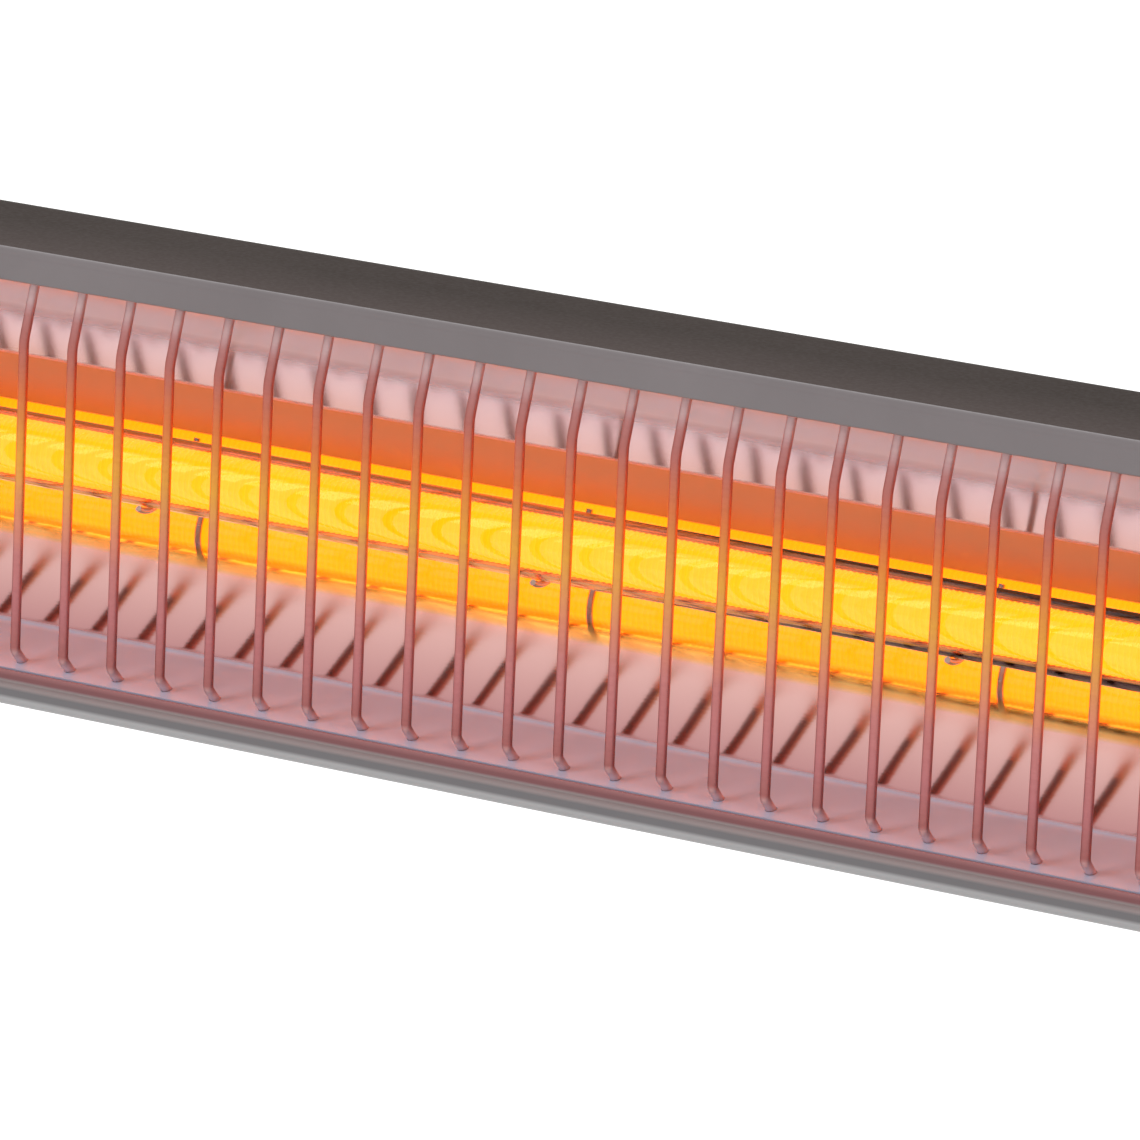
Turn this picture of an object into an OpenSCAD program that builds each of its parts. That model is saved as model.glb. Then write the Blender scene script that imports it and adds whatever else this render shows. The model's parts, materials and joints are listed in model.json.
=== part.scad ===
// Electric bar heater for a wall: a long extruded housing with a polished trough reflector,
// one glowing quartz tube behind a guard of upright wires, and a tilting bracket.
// Axes: X along the heater, Y towards the wall, Z up. Origin: on the wall face, in the
// middle of the bracket's four screw holes, level with the tilt axis.

/* [Housing] */
// Overall length, over the end caps
body_len = 800; // [560:10:1200]
// Height of the housing
body_h = 114; // [106:1:140]
// Depth of the housing, front to back
body_depth = 62; // [60:1:80]
// Radius of the two rounded back edges
back_r = 18; // [14:1:20]
// Wall of the extruded housing
wall_t = 2; // [1.6:0.1:2.4]
// Outer radius of the four screw ports in the extrusion
port_r = 4; // [3.5:0.1:4.2]
// Length of each closed end compartment, from end plate to cap face
end_zone = 54; // [50:1:70]

/* [Front rails and guard] */
// Height of the upper front lip
lip_h = 8; // [7:0.5:10]
// Thickness of both front lips
lip_t = 2.5; // [2:0.1:3]
// Radius of the lip's outer edge
lip_r = 2; // [1:0.1:2]
// Height of the rounded bead along the lower front edge
bead_h = 5.8; // [4:0.1:6.2]
// Diameter of a guard wire
wire_d = 2.5; // [2:0.1:3]
// Distance from one guard wire to the next
wire_pitch = 14; // [12:0.5:16]
// How far the upright stretch of a wire lies behind the front face
wire_y = 4; // [3.8:0.1:5]
// How far the wire's upper end lies behind the front face
wire_top_y = 8.5; // [7.5:0.1:9]
// Drop of the sloping stretch below the upper lip
wire_slope_h = 15; // [10:0.5:20]
// Radius of the two bends at a wire's foot
wire_bend_r = 2.5; // [2:0.1:3]
// Height above the underside at which the foot starts to slant back
wire_foot_z = 13.2; // [12.5:0.1:14]
// Height of a wire's lower leg above the underside
wire_leg_z = 6.5; // [6:0.1:6.8]

/* [Reflector] */
// Thickness of the polished sheet
sheet_t = 0.8; // [0.5:0.1:1]
// Distance of the flat back of the trough behind the front face
trough_y = 45; // [43:0.5:46]
// Height of the upper fold above the tube's axis
fold_up = 19; // [15:0.5:22]
// Depth of the lower fold below the tube's axis
fold_down = 13; // [11:0.5:16]
// Depth of the lower wing, from the flange to the facet
low_wing_run = 13; // [12:0.5:16]
// Rise of the lower flange from its front edge to the wing
flange_rise = 4.4; // [4:0.1:6]
// Bow of the upper wing
high_bow = 2.5; // [1:0.1:3.5]

/* [Quartz tube] */
// Distance of the tube's axis behind the front face
tube_y = 30; // [28:0.5:31]
// Outer diameter of the quartz tube
tube_d = 18; // [16:0.5:19]
// Wall of the quartz tube
tube_wall = 1.4; // [1:0.1:1.8]
// Gap between the glowing winding and the tube's inner wall
coil_gap = 0.7; // [0.4:0.1:1.5]
// Diameter of the wire of a tube hook
hook_d = 1.6; // [1.2:0.1:2]
// Distance from one tube hook to the next
hook_pitch = 112; // [84:14:140]

/* [Ends] */
// Thickness of an end cap, outside the gasket
cap_len = 16; // [14:1:22]
// Wall of an end cap
cap_wall = 3; // [2.5:0.1:3.5]
// Thickness of the gasket under an end cap
gasket_t = 1; // [0.8:0.1:1.5]
// Thickness of the inner end plates
plate_t = 1.5; // [1:0.1:2]
// Diameter of a ceramic tube end
ceramic_d = 22; // [21:0.5:23]

/* [Bracket] */
// Distance from the housing's back to the tilt axis
pivot_gap = 30; // [28:1:40]
// Distance from the tilt axis to the wall
wall_gap = 50; // [46:1:70]
// Thickness of the bracket steel
steel_t = 3; // [2.5:0.1:4]
// Half the outer width of the inner bracket
inner_half = 66; // [60:1:90]
// Screw hole distance along the wall
hole_dx = 90; // [70:1:100]
// Screw hole distance up the wall
hole_dz = 40; // [30:1:44]
// Diameter of a wall screw hole
hole_d = 6.5; // [5:0.1:7]
// Diameter of a pivot bolt
pivot_d = 8; // [6:0.5:8]
// Distance from the tilt axis to the locking knob
lock_r = 24; // [23:0.5:26]
// Diameter of the locking knob's stud
stud_d = 6; // [5:0.5:6]
// Diameter of a locking knob
knob_d = 30; // [26:1:31]
// Thickness of a locking knob
knob_len = 14; // [10:1:18]
// Tilt with the front turned down
tilt_down = 45; // [30:5:50]
// Tilt with the front turned up
tilt_up = 15; // [5:5:20]

/* [Hidden] */
$fn = 64;

// Gap between a part and the cut that clears it
clear = 0.3;
// Radial play of a shaft that turns or slides in its bore
run_fit = 0.05;
// Extra diameter of the knuckles where straight stretches of a rod meet
knuckle = 0.08;
// Length by which a cut runs past the face that it opens
past = 1;

// Places along X, measured from the middle
half_len = body_len / 2;
house_half = half_len - cap_len - gasket_t;
plate_x = half_len - end_zone;
wire_side = floor((plate_x - wire_pitch / 2) / wire_pitch);
hook_side = floor((plate_x - wire_pitch) / hook_pitch);
hook_shift = wire_pitch / 2;
coil_half = plate_x - 16;
tube_half = plate_x - 6;
ceramic_x0 = plate_x - 14;
ceramic_x1 = plate_x + 16;
holder_len = 9;
pin_x1 = ceramic_x1 + 4;

// Places in the housing's own section: y back from the front, z up from the underside
axis_z = body_h / 2;
inner_top = body_h - wall_t;
inner_back = body_depth - wall_t;
web_y = 12;
web_t = 2;
ledge_t = 2;
seat_z = body_h - lip_h + 0.5;
bead_r = lip_r;
recess_y = 1.6;
lower_lip_h = lip_h + 0.6;
front_edge = [lip_t + 0.1, lower_lip_h + 0.4];
facet_run = 6.5;
facet_drop = 10;
facet_low = [trough_y - facet_run, axis_z - fold_down - facet_drop];
flange_end = [facet_low[0] - low_wing_run, front_edge[1] + flange_rise];
facet_high = [trough_y, axis_z - fold_down];
back_high = [trough_y, axis_z + fold_up];
upper_edge = [13, seat_z - sheet_t - 0.4];
shield_y = trough_y + 5;
shield_t = 0.8;
shield_half_h = 35;
coil_d = tube_d - 2 * tube_wall - 2 * coil_gap;

// Screw ports of the extrusion, as [y, z]
port_in = port_r - 1;
back_port_y = body_depth - back_r + (back_r - wall_t - port_in) * 0.7071;
back_port_z = back_r - (back_r - wall_t - port_in) * 0.7071;
front_port_y = 22;
port_bore = 3.6;
ports = [[front_port_y, wall_t + port_in],
         [front_port_y, inner_top - port_in],
         [back_port_y, back_port_z],
         [back_port_y, body_h - back_port_z]];

// Bracket places, y back from the heater's front
pivot_y = body_depth + pivot_gap;
wall_y = pivot_y + wall_gap;
washer_t = 1;
outer_in = inner_half + washer_t + 0.1;
outer_out = outer_in + steel_t;
ear_r = 14;
knob_gap = 0.3;
knob_washer_t = 1.2;
knob_x0 = outer_out + knob_gap + knob_washer_t;
slot_w = stud_d + 2 * clear;
slot_margin = 2;

// Fasteners and fittings
screw_head_d = 7;
screw_head_h = 2.4;
screw_d = port_bore - 2 * run_fit;
small_d = 3;
bolt_d = 5;
bolt_dx = 40;
bolt_dz = 12;
rivet_d = 7;
gland_d = 16;
gland_bore = 7;
gland_x = plate_x + 20;
gland_z = axis_z + 24;
lead_d = 3;
lead_y = shield_y + 5.2;
lead_z = axis_z - 24;
block_size = [24, 16, 18];
block_x0 = plate_x + 6;
block_z0 = lead_z - 13;

// Colours
dark = [0.30, 0.27, 0.26];
grey = [0.47, 0.45, 0.45];
steel = [0.62, 0.62, 0.64];
bright = [0.85, 0.83, 0.80];
rose = [0.78, 0.56, 0.54];
glow = [1.0, 0.80, 0.05];
quartz = [0.95, 0.85, 0.75, 0.4];
ceramic = [0.92, 0.90, 0.85];
black = [0.10, 0.10, 0.10];
rubber = [0.15, 0.15, 0.15];

// ---------- helpers ----------

// Moves a shape from the housing's own section to the part's frame
module in_frame() {
    translate([0, -wall_y, -axis_z]) children();
}

// Extrudes a y-z outline along X, from x0 to x1
module along_x(x0, x1) {
    translate([x0, 0, 0]) rotate([90, 0, 90]) linear_extrude(x1 - x0) children();
}

// Round bar along X
module bar_x(x0, x1, y, z, d) {
    translate([x0, y, z]) rotate([0, 90, 0]) cylinder(h = x1 - x0, d = d);
}

// Round bar along Y
module bar_y(x, y0, y1, z, d) {
    translate([x, y0, z]) rotate([-90, 0, 0]) cylinder(h = y1 - y0, d = d);
}

// Round bar along Z
module bar_z(x, y, z0, z1, d) {
    translate([x, y, z0]) cylinder(h = z1 - z0, d = d);
}

// Rectangle in the y-z plane
module patch(y0, y1, z0, z1) {
    translate([y0, z0]) square([y1 - y0, z1 - z0]);
}

// Disc in the y-z plane
module disc(y, z, r) {
    translate([y, z]) circle(r = r);
}

// Round bar from a to b
module rod(a, b, d) {
    run = b - a;
    len = norm(run);
    turn = atan2(run[1], run[0]);
    lean = acos(run[2] / len);
    translate(a) rotate([0, lean, turn]) cylinder(h = len, d = d);
}

function unit(v) = v / norm(v);

// Points of the round bend of radius r at a corner, turning from direction u to direction v;
// a slight turn keeps its corner
function bend_points(corner, u, v, r) =
    let (angle = acos(u * v),
         side = unit(v - (u * v) * u),
         hub = corner - r * tan(angle / 2) * u + r * side,
         steps = round(angle / 45))
    steps == 0 ? [corner] :
    [for (i = [0 : steps]) let (t = angle * i / steps) hub - r * cos(t) * side + r * sin(t) * u];

// A path with each inner corner made round, with one radius for each of them
function rounded_path(points, radii) =
    let (last = len(points) - 1)
    [points[0],
     for (i = [1 : last - 1])
         each bend_points(points[i], unit(points[i] - points[i - 1]), unit(points[i + 1] - points[i]),
                          radii[i - 1]),
     points[last]];

// Straight stretches that meet in knuckles a hair wider than the rod
module bent_path(path, d) {
    last = len(path) - 1;
    for (i = [0 : last - 1]) rod(path[i], path[i + 1], d);
    for (i = [1 : last - 1]) translate(path[i]) sphere(d = d + knuckle);
}

// Insulated lead, turned at a round knuckle at every corner
module lead_run(points) {
    bent_path(points, lead_d);
}

module mirror_x() {
    mirror([1, 0, 0]) children();
}

// Housing section, drawn in by a distance, open towards the front
module section(inset, y0) {
    r = back_r - inset;
    back = body_depth - inset;
    patch(y0, back - r, inset, body_h - inset);
    patch(y0, back, back_r, body_h - back_r);
    disc(back - r, back_r, r);
    disc(back - r, body_h - back_r, r);
}

// ---------- housing and front ----------

module port_discs(r) {
    for (p = ports) disc(p[0], p[1], r);
}

module housing() {
    color(dark) in_frame() difference() {
        along_x(-house_half, house_half) difference() {
            union() {
                difference() {
                    section(0, lip_t);
                    section(wall_t, lip_t - past);
                }
                intersection() {
                    section(0, lip_t);
                    port_discs(port_r);
                }
            }
            port_discs(port_bore / 2);
        }
        for (sx = [-1, 1]) for (sz = [-1, 1])
            bar_y(sx * bolt_dx, inner_back - past, body_depth + past, axis_z + sz * bolt_dz, rivet_d);
        bar_y(gland_x, inner_back - past, body_depth + past, gland_z, gland_d);
    }
}

module upper_lip_outline() {
    low = body_h - lip_h;
    small_r = 0.8;
    intersection() {
        patch(0, lip_t, low, body_h);
        union() {
            patch(lip_r, lip_t, low, body_h);
            patch(0, lip_t, low + small_r, body_h - lip_r);
            patch(small_r, lip_t, low, body_h - lip_r);
            disc(lip_r, body_h - lip_r, lip_r);
            disc(small_r, low + small_r, small_r);
        }
    }
}

module upper_rail() {
    color(grey) in_frame() difference() {
        along_x(-house_half, house_half) {
            upper_lip_outline();
            patch(lip_t, 16, inner_top - ledge_t, inner_top);
            patch(lip_t, web_y, seat_z, inner_top - ledge_t);
        }
        for (i = [-wire_side : wire_side])
            bar_z(i * wire_pitch, wire_top_y, seat_z - past, inner_top - ledge_t - 0.5,
                  wire_d + 2 * run_fit);
    }
}

module lower_lip_outline() {
    intersection() {
        patch(0, lip_t, 0, bead_h);
        union() {
            patch(bead_r, lip_t, 0, bead_h);
            patch(0, lip_t, bead_r, bead_h - bead_r);
            disc(bead_r, bead_r, bead_r);
            disc(bead_r, bead_h - bead_r, bead_r);
        }
    }
    patch(recess_y, lip_t, bead_h - bead_r, lower_lip_h);
}

module lower_rail() {
    color(grey) in_frame() difference() {
        along_x(-house_half, house_half) {
            lower_lip_outline();
            patch(lip_t, web_y + web_t, wall_t, wall_t + ledge_t);
            patch(web_y, web_y + web_t, wall_t + ledge_t, wire_leg_z + wire_d / 2 + 0.6);
        }
        for (i = [-wire_side : wire_side])
            bar_y(i * wire_pitch, web_y - past, web_y + web_t + past, wire_leg_z,
                  wire_d + 2 * run_fit);
    }
}

// Point at the same height as a leg, reached by a slant at 45 degrees from a wire's foot
leg_start_y = wire_y + wire_foot_z - wire_leg_z;

// One guard wire: an upper stub, a slope, a long upright, a slanting foot and a short leg
module guard_wire(x) {
    low_lip = body_h - lip_h;
    corners = [[x, wire_top_y, inner_top - ledge_t - 1],
               [x, wire_top_y, low_lip],
               [x, wire_y, low_lip - wire_slope_h],
               [x, wire_y, wire_foot_z],
               [x, leg_start_y, wire_leg_z],
               [x, web_y + web_t + 1.5, wire_leg_z]];
    bent_path(rounded_path(corners, [0, 0, wire_bend_r, wire_bend_r]), wire_d);
}

module guard_wires() {
    color(rose) in_frame()
        for (i = [-wire_side : wire_side]) guard_wire(i * wire_pitch);
}

// Blank panel between the rails, in front of an end compartment
module front_panel() {
    color(dark) in_frame()
        along_x(plate_x, house_half)
            patch(recess_y, lip_t, lower_lip_h, body_h - lip_h);
}

module right_front_panel() {
    front_panel();
}

module left_front_panel() {
    mirror_x() front_panel();
}

// ---------- reflector ----------

// Points of a bowed line from p to q; the bow leans to the right of the way from p to q
function bowed(p, q, bow, steps) =
    let (run = q - p, side = [run[1], -run[0]] / norm(run))
    [for (i = [0 : steps]) let (t = i / steps) p + run * t + side * 4 * bow * t * (1 - t)];

// The face that the tube lights, from the lower front edge round to the upper one
face_line = concat([front_edge, flange_end, facet_low, facet_high],
                   bowed(back_high, upper_edge, high_bow, 12));

// Outward side of a line of points at point i
function side_at(line, i) =
    let (a = line[max(i - 1, 0)], b = line[min(i + 1, len(line) - 1)], run = b - a)
    [run[1], -run[0]] / norm(run);

module reflector_outline() {
    last = len(face_line) - 1;
    back_line = [for (i = [last : -1 : 0]) face_line[i] + side_at(face_line, i) * sheet_t];
    polygon(concat(face_line, back_line));
}

module reflector() {
    slot_d = wire_d + 2 * clear;
    color(bright) in_frame() difference() {
        along_x(-plate_x, plate_x) reflector_outline();
        for (i = [-wire_side : wire_side])
            rod([i * wire_pitch, wire_y, wire_foot_z], [i * wire_pitch, leg_start_y, wire_leg_z], slot_d);
        for (i = [-hook_side : hook_side])
            bar_y(i * hook_pitch + hook_shift, trough_y - past, trough_y + sheet_t + past, axis_z,
                  hook_d + 2 * clear);
    }
}

module heat_shield() {
    color(steel) in_frame()
        along_x(-plate_x, plate_x)
            patch(shield_y, shield_y + shield_t, axis_z - shield_half_h, axis_z + shield_half_h);
}

// ---------- quartz tube ----------

module quartz_tube() {
    color(quartz) in_frame() difference() {
        bar_x(-tube_half, tube_half, tube_y, axis_z, tube_d);
        bar_x(-tube_half - past, tube_half + past, tube_y, axis_z, tube_d - 2 * tube_wall);
    }
}

module heating_coil() {
    color(glow) in_frame() bar_x(-coil_half, coil_half, tube_y, axis_z, coil_d);
}

// Steel hook that carries the tube from behind and below, open at the front, with a stem
// through the back of the trough to the heat shield
module tube_hook(x) {
    ring_r = tube_d / 2 + 0.2 + hook_d / 2;
    above = 25;
    below = 120;
    translate([x, tube_y, axis_z]) rotate([0, 90, 0]) rotate(90 - below)
        rotate_extrude(angle = above + below) translate([ring_r, 0]) circle(d = hook_d);
    bar_y(x, tube_y + ring_r, shield_y, axis_z, hook_d);
}

// A row of hooks, each midway between two guard wires
module tube_hooks() {
    color(steel) in_frame()
        for (i = [-hook_side : hook_side]) tube_hook(i * hook_pitch + hook_shift);
}

// Ceramic end: a socket for the tube, then a narrow bore for the pin
module tube_ceramic() {
    shoulder = tube_half + 1;
    color(ceramic) in_frame() difference() {
        bar_x(ceramic_x0, ceramic_x1, tube_y, axis_z, ceramic_d);
        bar_x(ceramic_x0 - past, shoulder, tube_y, axis_z, tube_d + 2 * run_fit);
        bar_x(shoulder - past, ceramic_x1 + past, tube_y, axis_z, small_d + 2 * run_fit);
    }
}

module right_ceramic() {
    tube_ceramic();
}

module left_ceramic() {
    mirror_x() tube_ceramic();
}

// Pin that carries the current from the winding out of the ceramic end
module tube_pin() {
    color(steel) in_frame() bar_x(coil_half, pin_x1, tube_y, axis_z, small_d);
}

module right_pin() {
    tube_pin();
}

module left_pin() {
    mirror_x() tube_pin();
}

holder_screw_z = [axis_z - 18.5, axis_z + 18.5];
holder_half_w = 7;

// Steel holder on the end plate: a flange with two screw holes and a ring round the ceramic
module tube_holder() {
    x0 = plate_x + plate_t;
    color(steel) in_frame() difference() {
        union() {
            along_x(x0, x0 + plate_t)
                patch(tube_y - holder_half_w, tube_y + holder_half_w,
                      holder_screw_z[0] - 4, holder_screw_z[1] + 4);
            bar_x(x0, x0 + holder_len, tube_y, axis_z, ceramic_d + 6);
        }
        bar_x(x0 - past, x0 + holder_len + past, tube_y, axis_z, ceramic_d + 2 * run_fit);
        for (z = holder_screw_z)
            bar_x(x0 - past, x0 + plate_t + past, tube_y, z, small_d + 2 * run_fit);
    }
}

module right_holder() {
    tube_holder();
}

module left_holder() {
    mirror_x() tube_holder();
}

module holder_screws() {
    head = plate_x + 2 * plate_t;
    color(steel) in_frame()
        for (side = [0, 1]) mirror([side, 0, 0]) for (z = holder_screw_z) {
            bar_x(plate_x - 2, head, tube_y, z, small_d);
            bar_x(head, head + 2, tube_y, z, 2 * small_d);
        }
}

// ---------- ends ----------

bush_d = 7;
earth_y = tube_y;
earth_z = axis_z - 42;
tag_len = 10;

// Plate that closes the trough, with the tube's hole and the hole for the long lead
module end_plate() {
    edge = wall_t + 0.2;
    color(steel) in_frame() difference() {
        along_x(plate_x, plate_x + plate_t) difference() {
            section(edge, web_y + web_t + 2.5);
            port_discs(port_r + 0.2);
        }
        bar_x(plate_x - past, plate_x + plate_t + past, tube_y, axis_z, ceramic_d + 2 * clear);
        bar_x(plate_x - past, plate_x + plate_t + past, lead_y, lead_z, bush_d);
        for (z = holder_screw_z)
            bar_x(plate_x - past, plate_x + plate_t + past, tube_y, z, small_d + 2 * run_fit);
        bar_x(plate_x - past, plate_x + plate_t + past, earth_y, earth_z, small_d + 2 * run_fit);
    }
}

module right_end_plate() {
    end_plate();
}

module left_end_plate() {
    mirror_x() end_plate();
}

module end_gasket() {
    color(rubber) in_frame() along_x(house_half, house_half + gasket_t) difference() {
        section(0.6, 0.6);
        difference() {
            section(wall_t + 1, wall_t + 1);
            port_discs(port_r);
        }
        port_discs(port_bore / 2 + clear);
    }
}

module right_gasket() {
    end_gasket();
}

module left_gasket() {
    mirror_x() end_gasket();
}

// Hollow end cap with a stepped outer face and four counterbored screw holes
module end_cap() {
    x0 = house_half + gasket_t;
    step = 2;
    color(dark) in_frame() difference() {
        union() {
            along_x(x0, half_len - step) section(0, 0);
            along_x(half_len - step, half_len) section(step, step);
        }
        along_x(x0 - past, half_len - cap_wall - step) difference() {
            section(cap_wall, cap_wall);
            port_discs(port_r + 1);
        }
        for (p = ports) {
            bar_x(x0 - past, half_len + past, p[0], p[1], screw_d + 2 * clear);
            bar_x(half_len - screw_head_h - 0.2, half_len + past, p[0], p[1], screw_head_d + 2 * clear);
        }
    }
}

module right_end_cap() {
    end_cap();
}

module left_end_cap() {
    mirror_x() end_cap();
}

// Four screws through the end cap into the ports, with a cross recess
module cap_screws() {
    head = half_len - screw_head_h - 0.2;
    recess = 1.4;
    color(steel) in_frame() for (p = ports) difference() {
        union() {
            bar_x(house_half - 10, head, p[0], p[1], screw_d);
            bar_x(head, half_len - 0.2, p[0], p[1], screw_head_d);
        }
        along_x(half_len - recess, half_len + past) {
            patch(p[0] - 2, p[0] + 2, p[1] - 0.5, p[1] + 0.5);
            patch(p[0] - 0.5, p[0] + 0.5, p[1] - 2, p[1] + 2);
        }
    }
}

module right_cap_screws() {
    cap_screws();
}

module left_cap_screws() {
    mirror_x() cap_screws();
}

// ---------- wiring ----------

pole_x = [for (i = [0 : 2]) block_x0 + 4 + 8 * i];
block_y0 = inner_back - block_size[1];
pole_top = block_z0 + block_size[2];

// Three poles: a screw from the front of each; the long lead enters from the side, two from above
module terminal_block() {
    hole_d = lead_d + 2 * run_fit;
    color(ceramic) in_frame() difference() {
        translate([block_x0, block_y0, block_z0]) cube(block_size);
        for (x = pole_x) bar_y(x, block_y0 - past, block_y0 + 6, lead_z, 4 + 2 * run_fit);
        bar_x(block_x0 - past, pole_x[0], lead_y, lead_z, hole_d);
        for (x = [pole_x[1], pole_x[2]]) bar_z(x, lead_y, lead_z, pole_top + past, hole_d);
    }
}

module terminal_screws() {
    slot_t = 0.8;
    color(steel) in_frame() for (x = pole_x) difference() {
        bar_y(x, block_y0, block_y0 + 4, lead_z, 4);
        translate([x - 1.6, block_y0 - past, lead_z - slot_t / 2]) cube([3.2, past + slot_t, slot_t]);
    }
}

// From the right pin back and down to the last pole
module live_lead() {
    pole = pole_x[2];
    color([0.45, 0.25, 0.15]) in_frame() lead_run([
        [pin_x1, tube_y, axis_z],
        [pole, tube_y, axis_z],
        [pole, lead_y, axis_z],
        [pole, lead_y, lead_z]]);
}

// From the left pin, behind the heat shield along the whole trough, to the first pole
module neutral_lead() {
    turn_x = -pin_x1 - 6;
    color([0.15, 0.30, 0.60]) in_frame() lead_run([
        [-pin_x1, tube_y, axis_z],
        [turn_x, tube_y, axis_z],
        [turn_x, lead_y, axis_z],
        [turn_x, lead_y, lead_z],
        [pole_x[0], lead_y, lead_z]]);
}

// From the middle pole round to the tag on the right end plate
module earth_lead() {
    pole = pole_x[1];
    tag_y = earth_y + tag_len - 2;
    over_z = pole_top + 9;
    color([0.35, 0.60, 0.20]) in_frame() lead_run([
        [pole, lead_y, lead_z],
        [pole, lead_y, over_z],
        [pole, tag_y, over_z],
        [pole, tag_y, earth_z],
        [plate_x + plate_t + 1, tag_y, earth_z]]);
}

// Earth screw and its tag
module earth_screw() {
    face = plate_x + plate_t;
    tag_half = 2;
    color([0.75, 0.62, 0.25]) in_frame() {
        bar_x(plate_x - 3, face + 1, earth_y, earth_z, small_d);
        bar_x(face, face + 1, earth_y, earth_z, 8);
        along_x(face, face + 1) patch(earth_y, earth_y + tag_len, earth_z - tag_half, earth_z + tag_half);
        bar_x(face + 1, face + 5, earth_y, earth_z, 5.5);
    }
}

module lead_bushes() {
    color(black) in_frame() for (side = [0, 1]) mirror([side, 0, 0]) difference() {
        union() {
            bar_x(plate_x, plate_x + plate_t, lead_y, lead_z, bush_d);
            bar_x(plate_x + plate_t, plate_x + plate_t + 2, lead_y, lead_z, bush_d + 2);
        }
        bar_x(plate_x - past, plate_x + plate_t + 2 + past, lead_y, lead_z, lead_d + 2 * run_fit);
    }
}

gland_out = 18;
gland_nut_t = 4;

// Cable inlet on the back, open for a supply cord
module cable_gland() {
    back = body_depth;
    hex_t = 5;
    dome_t = 9;
    color(black) in_frame() difference() {
        union() {
            bar_y(gland_x, inner_back - gland_nut_t - 1, back, gland_z, gland_d - 2 * run_fit);
            translate([gland_x, back, gland_z]) rotate([-90, 0, 0]) cylinder(h = hex_t, d = 22, $fn = 6);
            bar_y(gland_x, back + hex_t, back + hex_t + dome_t, gland_z, 18);
            translate([gland_x, back + hex_t + dome_t, gland_z]) rotate([-90, 0, 0])
                cylinder(h = gland_out - hex_t - dome_t, d1 = 18, d2 = 12);
        }
        bar_y(gland_x, inner_back - gland_nut_t - 1 - past, back + gland_out + past, gland_z, gland_bore);
    }
}

module gland_nut() {
    color(black) in_frame() difference() {
        translate([gland_x, inner_back - gland_nut_t, gland_z]) rotate([-90, 0, 0])
            cylinder(h = gland_nut_t, d = 21, $fn = 6);
        bar_y(gland_x, inner_back - gland_nut_t - past, inner_back + past, gland_z, gland_d);
    }
}

// ---------- bracket ----------

inner_foot_half = 20;
plate_half_w = 90;
plate_half_h = 32;

// Inner bracket: a foot on the housing's back and two ears that carry pivot and lock
module inner_ear(x0) {
    along_x(x0, x0 + steel_t) difference() {
        union() {
            patch(body_depth, pivot_y + lock_r, axis_z - ear_r + 4, axis_z + ear_r - 4);
            patch(body_depth, body_depth + 14, axis_z - inner_foot_half, axis_z + inner_foot_half);
            disc(pivot_y, axis_z, ear_r);
            disc(pivot_y + lock_r, axis_z, ear_r - 4);
        }
        disc(pivot_y, axis_z, pivot_d / 2);
        disc(pivot_y + lock_r, axis_z, stud_d / 2 + run_fit);
    }
}

module body_bracket() {
    color(grey) in_frame() difference() {
        union() {
            along_x(-inner_half, inner_half)
                patch(body_depth, body_depth + steel_t, axis_z - inner_foot_half, axis_z + inner_foot_half);
            inner_ear(inner_half - steel_t);
            inner_ear(-inner_half);
        }
        for (sx = [-1, 1]) for (sz = [-1, 1])
            bar_y(sx * bolt_dx, body_depth - past, body_depth + steel_t + past,
                  axis_z + sz * bolt_dz, bolt_d + 2 * clear);
    }
}

// Arc slot round the tilt axis, in which the locking stud travels
module lock_slot() {
    r0 = lock_r - slot_w / 2;
    r1 = lock_r + slot_w / 2;
    a0 = -tilt_up - slot_margin;
    a1 = tilt_down + slot_margin;
    reach = 2 * r1;
    translate([pivot_y, axis_z]) {
        intersection() {
            difference() {
                circle(r = r1);
                circle(r = r0);
            }
            polygon([[0, 0], reach * [cos(a0), sin(a0)], reach * [1, 0], reach * [cos(a1), sin(a1)]]);
        }
        for (a = [a0, a1]) rotate(a) translate([lock_r, 0]) circle(d = slot_w + knuckle);
    }
}

// Wall bracket: a plate with four screw holes and two ears with the pivot bore and arc slot
module outer_ear(x0) {
    along_x(x0, x0 + steel_t) difference() {
        union() {
            disc(pivot_y, axis_z, ear_r);
            patch(pivot_y, wall_y - steel_t, axis_z - ear_r, axis_z + ear_r);
            patch(pivot_y + 8, wall_y, axis_z - plate_half_h, axis_z + plate_half_h);
        }
        disc(pivot_y, axis_z, pivot_d / 2 + run_fit);
        lock_slot();
    }
}

module wall_bracket() {
    color(grey) in_frame() difference() {
        union() {
            along_x(-plate_half_w, plate_half_w)
                patch(wall_y - steel_t, wall_y, axis_z - plate_half_h, axis_z + plate_half_h);
            outer_ear(outer_in);
            outer_ear(-outer_out);
        }
        for (sx = [-1, 1]) for (sz = [-1, 1])
            bar_y(sx * hole_dx / 2, wall_y - steel_t - past, wall_y + past,
                  axis_z + sz * hole_dz / 2, hole_d);
    }
}

// Hexagon bolts that hold the inner bracket, into rivet nuts in the housing's back
module bracket_bolts() {
    face = body_depth + steel_t;
    color(steel) in_frame() for (sx = [-1, 1]) for (sz = [-1, 1]) {
        bar_y(sx * bolt_dx, inner_back - 6, face, axis_z + sz * bolt_dz, bolt_d - 2 * run_fit);
        translate([sx * bolt_dx, face, axis_z + sz * bolt_dz]) rotate([-90, 0, 0])
            cylinder(h = 3.5, d = 9, $fn = 6);
    }
}

module rivet_nuts() {
    color(steel) in_frame() for (sx = [-1, 1]) for (sz = [-1, 1]) difference() {
        union() {
            bar_y(sx * bolt_dx, inner_back - 7, body_depth, axis_z + sz * bolt_dz, rivet_d - 2 * run_fit);
            bar_y(sx * bolt_dx, inner_back - 1.5, inner_back, axis_z + sz * bolt_dz, rivet_d + 3);
        }
        bar_y(sx * bolt_dx, inner_back - 7 - past, body_depth + past, axis_z + sz * bolt_dz, bolt_d);
    }
}

nut_t = 5;

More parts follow.
